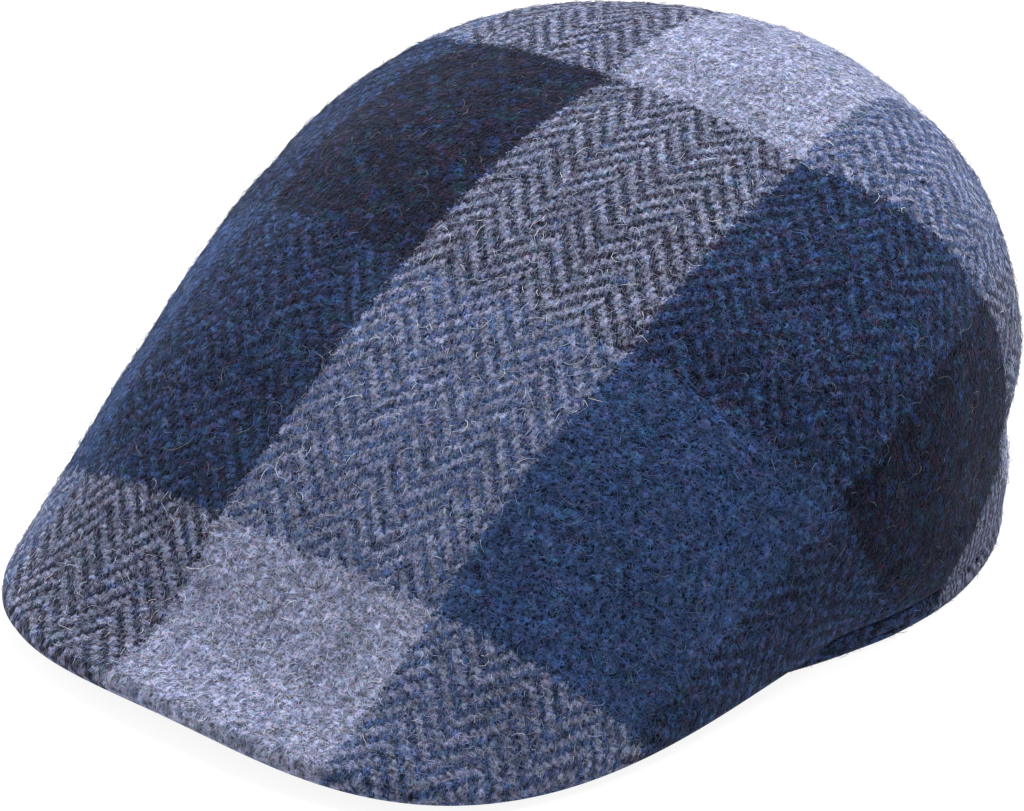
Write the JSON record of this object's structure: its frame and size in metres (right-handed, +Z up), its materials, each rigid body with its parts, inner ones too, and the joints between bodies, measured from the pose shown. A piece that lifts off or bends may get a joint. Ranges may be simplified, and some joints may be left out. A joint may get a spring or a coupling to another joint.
{
  "type": "flat cap",
  "caption": "Flat cap of woollen check cloth, one rounded panel running down to a broad stiff peak, open below for the head.",
  "frame": {"origin": "under the middle of the cap, at the height of the hem it rests on", "axes": "+Z up, -Y the way the peak points, +X the wearer's left"},
  "size_m": [0.1877, 0.2312, 0.1],
  "materials": {
    "crown_cloth": "fulled herringbone wool, fuzzy",
    "under_cloth": "plain wool twill",
    "hem_cloth": "turned wool hem, fuzzy"
  },
  "bodies": {
    "root": {"crown": "crown_cloth", "peak": "under_cloth", "hem_band": "hem_cloth"}
  },
  "joints": []
}
